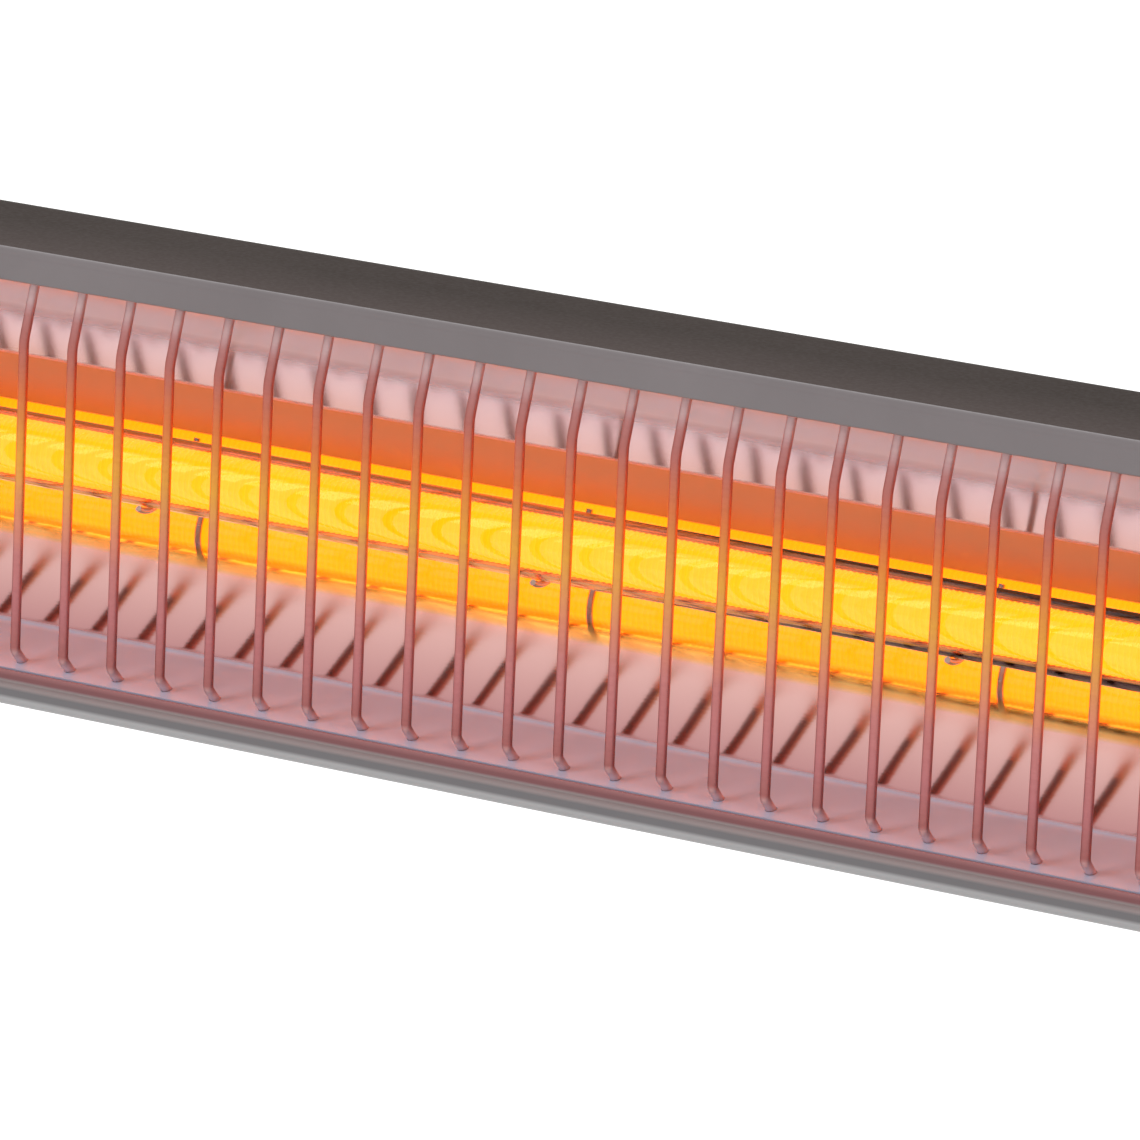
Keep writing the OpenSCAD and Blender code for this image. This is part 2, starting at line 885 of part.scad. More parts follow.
// Pivot bolts from outside, through both ears
module pivot_bolts() {
    head = outer_out + knob_gap;
    color(steel) in_frame() for (side = [0, 1]) mirror([side, 0, 0]) {
        bar_x(inner_half - steel_t - nut_t - 2, head, pivot_y, axis_z, pivot_d);
        translate([head, pivot_y, axis_z]) rotate([0, 90, 0]) cylinder(h = 5, d = 14, $fn = 6);
    }
}

module pivot_nuts() {
    color(steel) in_frame() for (side = [0, 1]) mirror([side, 0, 0]) difference() {
        translate([inner_half - steel_t - nut_t, pivot_y, axis_z]) rotate([0, 90, 0])
            cylinder(h = nut_t, d = 14.5, $fn = 6);
        bar_x(inner_half - steel_t - nut_t - past, inner_half - steel_t + past, pivot_y, axis_z,
              pivot_d + 2 * run_fit);
    }
}

module friction_washers() {
    color(black) in_frame() for (side = [0, 1]) mirror([side, 0, 0]) difference() {
        bar_x(inner_half, inner_half + washer_t, pivot_y, axis_z, 22);
        bar_x(inner_half - past, inner_half + washer_t + past, pivot_y, axis_z, pivot_d + 2 * run_fit);
    }
}

// Locking knob: a round grip with six finger scallops
module lock_knob() {
    scallops = 6;
    hub_d = 14;
    hub_len = 3;
    color(black) in_frame() difference() {
        union() {
            bar_x(knob_x0, knob_x0 + hub_len, pivot_y + lock_r, axis_z, hub_d);
            bar_x(knob_x0 + hub_len, knob_x0 + knob_len, pivot_y + lock_r, axis_z, knob_d);
        }
        for (i = [0 : scallops - 1])
            translate([knob_x0 + hub_len - past, pivot_y + lock_r, axis_z]) rotate([360 / scallops * i, 0, 0])
                translate([0, knob_d / 2 + 1.5, 0]) rotate([0, 90, 0]) cylinder(h = knob_len + past, d = 8);
        bar_x(knob_x0 - past, knob_x0 + 9, pivot_y + lock_r, axis_z, stud_d);
    }
}

module right_knob() {
    lock_knob();
}

module left_knob() {
    mirror_x() lock_knob();
}

module knob_stud() {
    color(steel) in_frame()
        bar_x(inner_half - steel_t - 3, knob_x0 + 9, pivot_y + lock_r, axis_z, stud_d);
}

module right_knob_stud() {
    knob_stud();
}

module left_knob_stud() {
    mirror_x() knob_stud();
}

module knob_washer() {
    color(steel) in_frame() difference() {
        bar_x(knob_x0 - knob_washer_t, knob_x0, pivot_y + lock_r, axis_z, 16);
        bar_x(knob_x0 - knob_washer_t - past, knob_x0 + past, pivot_y + lock_r, axis_z,
              stud_d + 2 * run_fit);
    }
}

module right_knob_washer() {
    knob_washer();
}

module left_knob_washer() {
    mirror_x() knob_washer();
}

wall_bracket();
housing();
upper_rail();
lower_rail();
guard_wires();
reflector();
heat_shield();
quartz_tube();
heating_coil();
tube_hooks();
left_ceramic();
right_ceramic();
left_pin();
right_pin();
left_holder();
right_holder();
holder_screws();
left_end_plate();
right_end_plate();
left_front_panel();
right_front_panel();
left_gasket();
right_gasket();
left_end_cap();
right_end_cap();
left_cap_screws();
right_cap_screws();
terminal_block();
terminal_screws();
live_lead();
neutral_lead();
earth_lead();
earth_screw();
lead_bushes();
cable_gland();
gland_nut();
body_bracket();
bracket_bolts();
rivet_nuts();
pivot_bolts();
pivot_nuts();
friction_washers();
left_knob();
right_knob();
left_knob_stud();
right_knob_stud();
left_knob_washer();
right_knob_washer();
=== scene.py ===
"""Looks of the electric bar heater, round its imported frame. Metres; the wall is at y = 0."""
import json
import math

import bmesh
import bpy
from mathutils import Matrix, Vector

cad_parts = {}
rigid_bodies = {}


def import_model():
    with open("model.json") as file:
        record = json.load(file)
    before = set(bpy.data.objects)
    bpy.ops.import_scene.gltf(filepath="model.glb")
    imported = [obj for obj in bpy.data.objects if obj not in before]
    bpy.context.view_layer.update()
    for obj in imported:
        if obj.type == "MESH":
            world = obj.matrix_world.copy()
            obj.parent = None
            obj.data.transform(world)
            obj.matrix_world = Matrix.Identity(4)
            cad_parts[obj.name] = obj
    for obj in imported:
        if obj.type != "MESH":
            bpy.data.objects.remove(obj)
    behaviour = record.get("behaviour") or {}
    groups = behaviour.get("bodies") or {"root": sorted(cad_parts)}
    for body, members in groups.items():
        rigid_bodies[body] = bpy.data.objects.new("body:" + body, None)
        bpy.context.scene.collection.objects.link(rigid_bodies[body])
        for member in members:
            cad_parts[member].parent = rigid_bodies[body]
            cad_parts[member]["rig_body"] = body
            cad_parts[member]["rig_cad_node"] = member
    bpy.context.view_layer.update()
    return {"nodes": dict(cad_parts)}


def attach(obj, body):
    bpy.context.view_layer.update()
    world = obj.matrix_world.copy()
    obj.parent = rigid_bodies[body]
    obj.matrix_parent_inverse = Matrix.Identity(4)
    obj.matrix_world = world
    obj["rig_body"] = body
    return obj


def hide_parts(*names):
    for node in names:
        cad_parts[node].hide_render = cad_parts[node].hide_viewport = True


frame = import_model()

MM = 0.001
FRONT_Y = -142 * MM          # front face of the heater
UNDER_Z = -57 * MM           # underside of the heater

# Places in the heater's own section are (back from the front, up from the underside), in mm.
TUBE_AXIS = (30, 57)
WIRE_LINE = [(8.5, 109), (8.5, 105.5), (4, 91), (4, 13.2), (10.7, 6.5), (15.5, 6.5)]
FLANGE_EDGE = (2.6, 9)
FLANGE_FOLD = (25.5, 13.4)
LOWER_WING_TOP = (38.5, 34)
BACK_FOOT = (45, 44)
BACK_TOP = (45, 76)
UPPER_WING_EDGE = (13, 105.3)

WIRE_PITCH = 14
WIRE_COUNT = 49
FIRST_WIRE_X = -336
HOOK_PITCH = 8 * WIRE_PITCH
HOOK_COUNT = 5
FIRST_HOOK_X = -217


# ---------- modelling helpers ----------

def at(x, y, z):
    """A point of the scene: x mm along from the middle, at the place (y, z) in the section."""
    return Vector((x * MM, FRONT_Y + y * MM, UNDER_Z + z * MM))


def start_clear():
    """Object mode, with nothing selected."""
    if bpy.context.mode != "OBJECT":
        bpy.ops.object.mode_set(mode="OBJECT")
    bpy.ops.object.select_all(action="DESELECT")


def only(obj):
    """Nothing but this object is selected."""
    start_clear()
    obj.select_set(True)
    bpy.context.view_layer.objects.active = obj


def edit(obj):
    only(obj)
    bpy.ops.object.mode_set(mode="EDIT")


def done():
    bpy.ops.object.mode_set(mode="OBJECT")


def pick_edges(obj, test):
    """In edit mode, selects only the edges whose middle passes the test."""
    mesh = bmesh.from_edit_mesh(obj.data)
    for items in (mesh.verts, mesh.edges, mesh.faces):
        for item in items:
            item.select_set(False)
    bpy.context.tool_settings.mesh_select_mode = (False, True, False)
    for edge in mesh.edges:
        if test((edge.verts[0].co + edge.verts[1].co) / 2):
            edge.select_set(True)
    mesh.select_flush_mode()
    bmesh.update_edit_mesh(obj.data)


def extrude(move):
    bpy.ops.mesh.extrude_region_move(TRANSFORM_OT_translate={"value": tuple(move)})


def settle(obj):
    """Puts an object's place, turn and size into its mesh."""
    only(obj)
    bpy.ops.object.transform_apply(location=True, rotation=True, scale=True)


def apply_all(obj):
    only(obj)
    for modifier in list(obj.modifiers):
        bpy.ops.object.modifier_apply(modifier=modifier.name)


def merge(distance):
    """In edit mode, selects everything and joins the points that are closer than the distance in mm."""
    bpy.ops.mesh.select_all(action="SELECT")
    bpy.ops.mesh.remove_doubles(threshold=distance * MM)


def outward(obj):
    """Merges doubled points and turns every face outwards."""
    edit(obj)
    merge(0.001)
    bpy.ops.mesh.normals_make_consistent(inside=False)
    done()


def smooth(obj, degrees):
    only(obj)
    bpy.ops.object.shade_smooth_by_angle(angle=math.radians(degrees))


def repeat(obj, count, step):
    """Copies of a mesh side by side along X, in one object."""
    array = obj.modifiers.new("row", "ARRAY")
    array.count = count
    array.use_relative_offset = False
    array.use_constant_offset = True
    array.constant_offset_displace = (step * MM, 0, 0)
    apply_all(obj)


def drill(obj, radius, depth, place, tilt, count, step):
    """Takes a row of round holes out of a sheet, each drilled about its place at the tilt."""
    start_clear()
    bpy.ops.mesh.primitive_cylinder_add(vertices=24, radius=radius * MM, depth=depth * MM, location=place,
                                        rotation=(math.radians(tilt), 0, 0))
    cutter = bpy.context.active_object
    settle(cutter)
    repeat(cutter, count, step)
    cut = obj.modifiers.new("cut", "BOOLEAN")
    cut.operation = "DIFFERENCE"
    cut.solver = "EXACT"
    cut.object = cutter
    apply_all(obj)
    bpy.data.objects.remove(cutter, do_unlink=True)


def round_edges(obj, width, segments, degrees):
    """Rounds the edges that turn by more than the angle."""
    bevel = obj.modifiers.new("edges", "BEVEL")
    bevel.width = width * MM
    bevel.segments = segments
    bevel.limit_method = "ANGLE"
    bevel.angle_limit = math.radians(degrees)
    bevel.miter_outer = "MITER_ARC"
    apply_all(obj)


def give(obj, name, body, finish, node=None):
    """Names a finished piece, gives it its finish, joins it to its body and lets it stand for a node."""
    obj.name = name
    obj.data.name = name
    obj.data.materials.clear()
    obj.data.materials.append(finish.material)
    if node:
        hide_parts(node)
    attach(obj, body)


# ---------- shared effects ----------

FLOAT = "NodeSocketFloat"
VECTOR = "NodeSocketVector"


def new_group(name, inputs, outputs):
    """An empty node group with the sockets that it is given: (name, kind, value) and (name, kind)."""
    group = bpy.data.node_groups.new(name, "ShaderNodeTree")
    for label, kind, value in inputs:
        socket = group.interface.new_socket(name=label, in_out="INPUT", socket_type=kind)
        if value is not None:
            socket.default_value = value
    for label, kind in outputs:
        group.interface.new_socket(name=label, in_out="OUTPUT", socket_type=kind)
    into = group.nodes.new("NodeGroupInput")
    out = group.nodes.new("NodeGroupOutput")
    return group, into, out


def make_grain_group():
    """Fine grain of paint or plastic, with broad uneven patches."""
    group, into, out = new_group(
        "paint_grain",
        [("Place", VECTOR, None), ("Grain Scale", FLOAT, 900.0), ("Patch Scale", FLOAT, 14.0)],
        [("Grain", FLOAT), ("Patches", FLOAT), ("Height", FLOAT)])
    links = group.links
    fine = group.nodes.new("ShaderNodeTexNoise")
    fine.inputs["Detail"].default_value = 3.0
    links.new(into.outputs["Place"], fine.inputs["Vector"])
    links.new(into.outputs["Grain Scale"], fine.inputs["Scale"])
    broad = group.nodes.new("ShaderNodeTexNoise")
    broad.inputs["Detail"].default_value = 5.0
    broad.inputs["Roughness"].default_value = 0.6
    links.new(into.outputs["Place"], broad.inputs["Vector"])
    links.new(into.outputs["Patch Scale"], broad.inputs["Scale"])
    height = group.nodes.new("ShaderNodeMath")
    height.operation = "MULTIPLY_ADD"
    height.inputs[1].default_value = 0.2
    links.new(broad.outputs["Fac"], height.inputs[0])
    links.new(fine.outputs["Fac"], height.inputs[2])
    links.new(fine.outputs["Fac"], out.inputs["Grain"])
    links.new(broad.outputs["Fac"], out.inputs["Patches"])
    links.new(height.outputs[0], out.inputs["Height"])
    return group


def make_line_group():
    """Fine lines along X, as rolling, drawing or extruding leaves them, and broad gentle waves."""
    group, into, out = new_group(
        "drawn_lines",
        [("Place", VECTOR, None), ("Line Scale", FLOAT, 1500.0), ("Wave Scale", FLOAT, 22.0)],
        [("Lines", FLOAT), ("Waves", FLOAT)])
    links = group.links
    squeeze = group.nodes.new("ShaderNodeVectorMath")
    squeeze.operation = "MULTIPLY"
    squeeze.inputs[1].default_value = (0.012, 1.0, 1.0)
    links.new(into.outputs["Place"], squeeze.inputs[0])
    lines = group.nodes.new("ShaderNodeTexNoise")
    lines.inputs["Detail"].default_value = 2.0
    links.new(squeeze.outputs[0], lines.inputs["Vector"])
    links.new(into.outputs["Line Scale"], lines.inputs["Scale"])
    waves = group.nodes.new("ShaderNodeTexNoise")
    waves.inputs["Detail"].default_value = 1.0
    links.new(into.outputs["Place"], waves.inputs["Vector"])
    links.new(into.outputs["Wave Scale"], waves.inputs["Scale"])
    links.new(lines.outputs["Fac"], out.inputs["Lines"])
    links.new(waves.outputs["Fac"], out.inputs["Waves"])
    return group


def make_band_group():
    """A soft-edged band between two heights."""
    group, into, out = new_group(
        "height_band",
        [("Height", FLOAT, 0.0), ("Low", FLOAT, 0.0), ("High", FLOAT, 1.0), ("Soft", FLOAT, 0.001)],
        [("Mask", FLOAT)])
    links = group.links

    def math_node(operation, a, b, clamp=False):
        node = group.nodes.new("ShaderNodeMath")
        node.operation = operation
        node.use_clamp = clamp
        links.new(a, node.inputs[0])
        links.new(b, node.inputs[1])
        return node.outputs[0]

    height, soft = into.outputs["Height"], into.outputs["Soft"]
    above = math_node("SUBTRACT", height, into.outputs["Low"])
    below = math_node("SUBTRACT", into.outputs["High"], height)
    above = math_node("DIVIDE", above, soft, clamp=True)
    below = math_node("DIVIDE", below, soft, clamp=True)
    links.new(math_node("MULTIPLY", above, below), out.inputs["Mask"])
    return group


GRAIN = make_grain_group()
LINES = make_line_group()
BAND = make_band_group()


class Finish:
    """A material with its Principled shader, and short ways to add to it. Its pieces' slot has its name."""

    def __init__(self, name, color, roughness, metallic=0.0):
        self.name = name
        self.material = bpy.data.materials.new(name)
        self.material.use_nodes = True
        self.nodes = self.material.node_tree.nodes
        self.links = self.material.node_tree.links
        self.shader = self.nodes["Principled BSDF"]
        self.shader.inputs["Base Color"].default_value = (*color, 1.0)
        self.shader.inputs["Roughness"].default_value = roughness
        self.shader.inputs["Metallic"].default_value = metallic
        self.place = self.nodes.new("ShaderNodeTexCoord").outputs["Object"]

    def group(self, tree, **values):
        """A shared effect with its values; an underscore in a name stands for a space."""
        node = self.nodes.new("ShaderNodeGroup")
        node.node_tree = tree
        if "Place" in node.inputs:
            self.links.new(self.place, node.inputs["Place"])
        for key, value in values.items():
            node.inputs[key.replace("_", " ")].default_value = value
        return node

    def span(self, source, low, high, start=0.3, end=0.7):
        """A value that goes from low to high as the source goes from start to end."""
        node = self.nodes.new("ShaderNodeMapRange")
        node.inputs["From Min"].default_value = start
        node.inputs["From Max"].default_value = end
        node.inputs["To Min"].default_value = low
        node.inputs["To Max"].default_value = high
        self.links.new(source, node.inputs["Value"])
        return node.outputs["Result"]

    def blend(self, mask, first, second):
        """The first colour where the mask is 0 and the second where it is 1."""
        node = self.nodes.new("ShaderNodeMix")
        node.data_type = "RGBA"
        first_color, second_color = node.inputs[6], node.inputs[7]
        self.links.new(mask, node.inputs["Factor"])
        for socket, color in ((first_color, first), (second_color, second)):
            if isinstance(color, tuple):
                socket.default_value = (*color, 1.0)
            else:
                self.links.new(color, socket)
        return node.outputs[2]

    def axis(self, letter):
        apart = self.nodes.new("ShaderNodeSeparateXYZ")
        self.links.new(self.place, apart.inputs[0])
        return apart.outputs[letter]

    def rise(self, low, high):
        """0 up to the low height in the section and 1 from the high one, in mm."""
        return self.span(self.axis("Z"), 0.0, 1.0, UNDER_Z + low * MM, UNDER_Z + high * MM)

    def depth(self, near, far, at_near, at_far):
        """A value that changes from near the front to farther back in the section, in mm."""
        return self.span(self.axis("Y"), at_near, at_far, FRONT_Y + near * MM, FRONT_Y + far * MM)

    def band(self, low, high, soft):
        """1 between two heights in the section, falling to 0 at them over the soft width, in mm."""
        node = self.group(BAND, Low=UNDER_Z + low * MM, High=UNDER_Z + high * MM, Soft=soft * MM)
        self.links.new(self.axis("Z"), node.inputs["Height"])
        return node.outputs["Mask"]

    def ramp(self, stops):
        """A colour that changes with the height in the section, by stops of (mm, colour)."""
        low, high = stops[0][0], stops[-1][0]
        node = self.nodes.new("ShaderNodeValToRGB")
        elements = node.color_ramp.elements
        while len(elements) < len(stops):
            elements.new(1.0)
        for element, (height, color) in zip(elements, stops):
            element.position = (height - low) / (high - low)
            element.color = (*color, 1.0)
        self.links.new(self.rise(low, high), node.inputs["Fac"])
        return node.outputs["Color"]

    def feed(self, source, socket):
        self.links.new(source, self.shader.inputs[socket])

    def color(self):
        """The colour that already feeds the shader."""
        return self.shader.inputs["Base Color"].links[0].from_socket

    def bump(self, height, distance, strength, under=None):
        """A normal from a height of 0 to 1; the distance is in mm."""
        node = self.nodes.new("ShaderNodeBump")
        node.inputs["Distance"].default_value = distance * MM
        node.inputs["Strength"].default_value = strength
        self.links.new(height, node.inputs["Height"])
        if under is not None:
            self.links.new(under, node.inputs["Normal"])
        return node.outputs["Normal"]


def painted(name, color, lighter, roughness, grain_scale=900.0, bump=0.04, specular=0.5):
    """Paint or moulded plastic: fine grain, uneven patches and a slightly uneven gloss."""
    finish = Finish(name, color, roughness)
    finish.shader.inputs["Specular IOR Level"].default_value = specular
    grain = finish.group(GRAIN, Grain_Scale=grain_scale)
    finish.feed(finish.blend(finish.span(grain.outputs["Patches"], 0.0, 1.0), color, lighter), "Base Color")
    finish.feed(finish.span(grain.outputs["Grain"], roughness - 0.05, roughness + 0.07), "Roughness")
    finish.feed(finish.bump(grain.outputs["Height"], bump, 0.5), "Normal")
    return finish


def metal(name, color, tinted, roughness):
    """Bare or plated metal with drawn lines and faint tarnish."""
    finish = Finish(name, color, roughness, metallic=1.0)
    lines = finish.group(LINES)
    grain = finish.group(GRAIN, Grain_Scale=600.0, Patch_Scale=40.0)
    finish.feed(finish.blend(finish.span(grain.outputs["Patches"], 0.0, 1.0), color, tinted), "Base Color")
    finish.feed(finish.span(lines.outputs["Lines"], roughness - 0.04, roughness + 0.08), "Roughness")
    finish.feed(finish.bump(lines.outputs["Lines"], 0.02, 0.4), "Normal")
    return finish


# ---------- finishes ----------

CAP_PAINT = painted("cap_paint", (0.045, 0.038, 0.035), (0.058, 0.050, 0.046), 0.55, 500.0, 0.08, 0.25)
BRACKET_PAINT = painted("bracket_paint", (0.060, 0.056, 0.055), (0.080, 0.075, 0.072), 0.45, 700.0, 0.08)
KNOB_PLASTIC = painted("knob_plastic", (0.016, 0.016, 0.016), (0.024, 0.023, 0.023), 0.48, 1200.0, 0.06)
BLACK_PLASTIC = painted("black_plastic", (0.018, 0.018, 0.019), (0.026, 0.026, 0.026), 0.42, 1400.0)
SEAL_RUBBER = painted("seal_rubber", (0.022, 0.021, 0.020), (0.034, 0.032, 0.031), 0.8, 700.0)
CERAMIC_END = painted("ceramic_end", (0.80, 0.76, 0.68), (0.70, 0.63, 0.52), 0.5, 700.0)
BROWN_LEAD = painted("brown_lead", (0.16, 0.055, 0.022), (0.20, 0.075, 0.032), 0.45)
BLUE_LEAD = painted("blue_lead", (0.02, 0.075, 0.30), (0.03, 0.10, 0.36), 0.45)
GREEN_LEAD = painted("green_lead", (0.09, 0.33, 0.05), (0.13, 0.40, 0.07), 0.45)
SHEET_STEEL = metal("sheet_steel", (0.52, 0.52, 0.53), (0.44, 0.43, 0.42), 0.34)
PLATED_STEEL = metal("plated_steel", (0.62, 0.62, 0.63), (0.54, 0.53, 0.50), 0.25)
HOOK_STEEL = metal("hook_steel", (0.55, 0.45, 0.40), (0.42, 0.30, 0.24), 0.3)
BRASS_SCREW = metal("brass_screw", (0.72, 0.52, 0.24), (0.60, 0.42, 0.20), 0.28)


def make_housing_finish():
    """Dark brown paint, with painted light: paler towards the front edges, where the top catches more
    light.
    """
    finish = painted("housing_paint", (0.043, 0.0325, 0.028), (0.055, 0.042, 0.037), 0.6, specular=0.04)
    # Painted light: the top is lightened towards its front edge.
    front = finish.depth(near=3, far=30, at_near=1.0, at_far=0.0)
    finish.feed(finish.blend(front, finish.color(), (0.084, 0.064, 0.059)), "Base Color")
    return finish


# Colour by height in mm: heat-tinted mauve, with a golden painted glow in front of the tube and pale
# painted highlights at both ends.
WIRE_TINTS_GLOW_AND_HIGHLIGHTS = [(6, (0.85, 0.68, 0.68)), (11, (0.80, 0.58, 0.58)), (14, (0.33, 0.12, 0.115)),
              (25, (0.44, 0.165, 0.172)), (38, (0.51, 0.20, 0.19)), (46, (0.65, 0.245, 0.15)),
              (62, (0.73, 0.355, 0.05)), (78, (0.66, 0.185, 0.055)), (90, (0.45, 0.155, 0.13)),
              (97, (0.49, 0.22, 0.21)), (101, (0.64, 0.44, 0.44))]


def make_wire_finish():
    """Plated wire, heat-tinted mauve above and below the tube, with painted light by height: a golden
    painted glow in front of the tube, pale painted highlights at its ends, and painted shade that turns the
    back of its lower half dark brown."""
    finish = metal("wire_chrome", (0.47, 0.16, 0.14), (0.42, 0.14, 0.125), 0.5)
    tint_glow_and_highlights = finish.ramp(WIRE_TINTS_GLOW_AND_HIGHLIGHTS)
    uneven = finish.group(GRAIN, Grain_Scale=600.0, Patch_Scale=40.0)
    color = finish.blend(finish.span(uneven.outputs["Patches"], 0.0, 0.25), tint_glow_and_highlights, finish.color())
    # Painted shade: the back half of the wire's lower part is dark brown.
    shaded_back_color = finish.blend(finish.band(13, 60, soft=2), color, (0.18, 0.12, 0.10))
    back = finish.depth(near=4.4, far=4.9, at_near=0.0, at_far=1.0)
    finish.feed(finish.blend(back, color, shaded_back_color), "Base Color")
    return finish


# Painted light on the lower rail by height in mm: highlights, shade between them, and a red glow in the
# shade at the lip.
LOWER_RAIL_PAINTED_LIGHT = [(0, (0.42, 0.41, 0.415)), (2.0, (0.42, 0.41, 0.415)), (2.9, (0.160, 0.150, 0.156)),
                    (4.2, (0.160, 0.150, 0.156)), (4.9, (0.30, 0.24, 0.236)), (6.0, (0.30, 0.24, 0.236)),
                    (6.6, (0.21, 0.066, 0.071)), (7.3, (0.21, 0.066, 0.071)), (8.4, (0.34, 0.130, 0.130))]


def make_rail_finish():
    """Satin grey paint. The lower rail has stripes by height, all painted light: pale painted highlights at
    the bottom and top of its bead, painted shade between them, and dark red along the lip as painted shade
    with a painted red glow of the tube."""
    finish = painted("rail_metal", (0.178, 0.153, 0.156), (0.212, 0.184, 0.188), 0.36)
    lower_rail = finish.band(-10, 9.4, soft=0.3)
    finish.feed(finish.blend(lower_rail, finish.color(), finish.ramp(LOWER_RAIL_PAINTED_LIGHT)), "Base Color")
    return finish


DULL_STRIP = (64.2, 76.3)
REFLECTOR_ROUGHNESS = [(14.4, 0.30), (15.2, 0.06), (25, 0.07), (28, 0.10), (31, 0.17), (33.5, 0.19),
                       (35, 0.06), (64.2, 0.06), (64.6, 0.42), (76.3, 0.42), (77, 0.10), (92, 0.14)]


def make_reflector_finish():
    """Polished sheet with gentle waves, a dull strip above the tube and a matt flange. The lower wing is
    darker and pinker towards the bottom and the upper wing pinker;
    the dull strip and a band at the top of the lower wing are tinted orange as a painted glow of the tube.
    The upper wing is less metallic towards its edge and painted paler there, a painted reflection of bright
    surroundings."""
    finish = Finish("reflector_sheet", (0.90, 0.85, 0.86), 0.06, metallic=1.0)
    lines = finish.group(LINES, Line_Scale=1800.0, Wave_Scale=26.0)
    flange = finish.band(-5, 14.6, soft=0.6)
    crown = finish.band(87, 120, soft=6.0)
    # The lower wing goes darker and pinker towards the bottom; the upper wing is pinker.
    lower_wing = finish.blend(finish.rise(13.4, 34), (0.52, 0.25, 0.25), (0.86, 0.52, 0.47))
    upper_wing = finish.blend(finish.rise(78, 88), (0.73, 0.47, 0.44), (0.70, 0.50, 0.51))
    # Painted glow and shade: the dull strip above the tube goes from dark just over it to orange.
    strip = finish.blend(finish.rise(*DULL_STRIP), (0.30, 0.26, 0.16), (0.60, 0.20, 0.08))
    color = finish.blend(lines.outputs["Waves"], (0.92, 0.87, 0.875), (0.88, 0.82, 0.825))
    color = finish.blend(finish.band(12, 34.5, soft=1.0), color, lower_wing)
    # Painted glow: an orange band at the top of the lower wing.
    color = finish.blend(finish.band(32.0, 37.6, soft=1.2), color, (0.80, 0.47, 0.17))
    color = finish.blend(finish.band(76, 120, soft=0.5), color, upper_wing)
    # Painted reflection: the upper wing's edge is painted pale bluish white.
    color = finish.blend(crown, color, (0.80, 0.84, 0.92))
    color = finish.blend(finish.band(*DULL_STRIP, soft=0.4), color, strip)
    color = finish.blend(flange, color, (0.49, 0.51, 0.65))
    finish.feed(color, "Base Color")
    bare = finish.nodes.new("ShaderNodeMath")
    bare.operation = "MULTIPLY_ADD"
    bare.inputs[1].default_value = -0.75
    finish.links.new(crown, bare.inputs[0])
    finish.links.new(finish.span(flange, 1.0, 0.15, 0.0, 1.0), bare.inputs[2])
    finish.feed(bare.outputs[0], "Metallic")
    roughness = finish.ramp([(height, (value, value, value)) for height, value in REFLECTOR_ROUGHNESS])
    finish.feed(roughness, "Roughness")
    wavy = finish.bump(lines.outputs["Waves"], 0.6, 0.5)
    finish.feed(finish.bump(lines.outputs["Lines"], 0.01, 0.3, wavy), "Normal")
    return finish


def make_glow_finish():
    """Bright hot winding, a little uneven along its length."""
    finish = Finish("glowing_winding", (0.20, 0.08, 0.03), 0.6)
    grain = finish.group(GRAIN, Patch_Scale=9.0)
    uneven = finish.span(grain.outputs["Patches"], 0.0, 1.0)
    finish.feed(finish.blend(uneven, (1.0, 0.27, 0.005), (1.0, 0.31, 0.010)), "Emission Color")
    finish.shader.inputs["Emission Strength"].default_value = 3.4
    return finish


def make_quartz_finish():
    """Gold-tinted fused quartz that lets lamp light through to what is behind it."""
    finish = Finish("quartz", (1.0, 0.62, 0.25), 0.02)
    finish.shader.inputs["Transmission Weight"].default_value = 1.0
    finish.shader.inputs["IOR"].default_value = 1.46
    grain = finish.group(GRAIN, Patch_Scale=10.0)
    finish.feed(finish.span(grain.outputs["Patches"], 0.01, 0.05), "Roughness")
    clear = finish.nodes.new("ShaderNodeBsdfTransparent")
    mix = finish.nodes.new("ShaderNodeMixShader")
    path = finish.nodes.new("ShaderNodeLightPath")
    finish.links.new(path.outputs["Is Shadow Ray"], mix.inputs["Fac"])
    finish.links.new(finish.shader.outputs["BSDF"], mix.inputs[1])
    finish.links.new(clear.outputs["BSDF"], mix.inputs[2])
    finish.links.new(mix.outputs["Shader"], finish.nodes["Material Output"].inputs["Surface"])
    return finish


HOUSING_PAINT = make_housing_finish()
WIRE_CHROME = make_wire_finish()
RAIL_METAL = make_rail_finish()
REFLECTOR_SHEET = make_reflector_finish()
GLOWING_WINDING = make_glow_finish()
QUARTZ = make_quartz_finish()


# ---------- camera, floor and light ----------

CAMERA_PLACE = (1.0351364, -1.90563823, 0.51796712)
CAMERA_RIGHT = (0.8627754, 0.5037255, 0.04335013)
CAMERA_UP = (-0.16034336, 0.19129938, 0.9683463)
CAMERA_AHEAD = (-0.47948787, 0.84241627, -0.24581744)
FLOOR_Z = -0.22
FLOOR_RADIUS = 40.0
LAMP_TARGET = (0, -0.1, 0)
LAMPS = [
    # name, place, size across and power
    ("soft_front_left", (-1.3, -1.9, 1.7), 1.4, 24.0),
    ("soft_right", (2.2, -1.0, 0.9), 1.0, 10.0),
    ("soft_back", (0.4, 1.9, 1.3), 1.4, 14.0),
]


def make_camera():
    """Long lens, above the heater and towards its right-hand end, rolled a little."""
    data = bpy.data.cameras.new("camera")
    data.sensor_width = 36.0
    data.lens = 281.9
    data.clip_start = 0.05
    data.clip_end = 200.0
    camera = bpy.data.objects.new("camera", data)
    bpy.context.scene.collection.objects.link(camera)
    turn = Matrix((Vector(CAMERA_RIGHT), Vector(CAMERA_UP), -Vector(CAMERA_AHEAD))).transposed().to_4x4()
    camera.matrix_world = Matrix.Translation(CAMERA_PLACE) @ turn
    bpy.context.scene.camera = camera


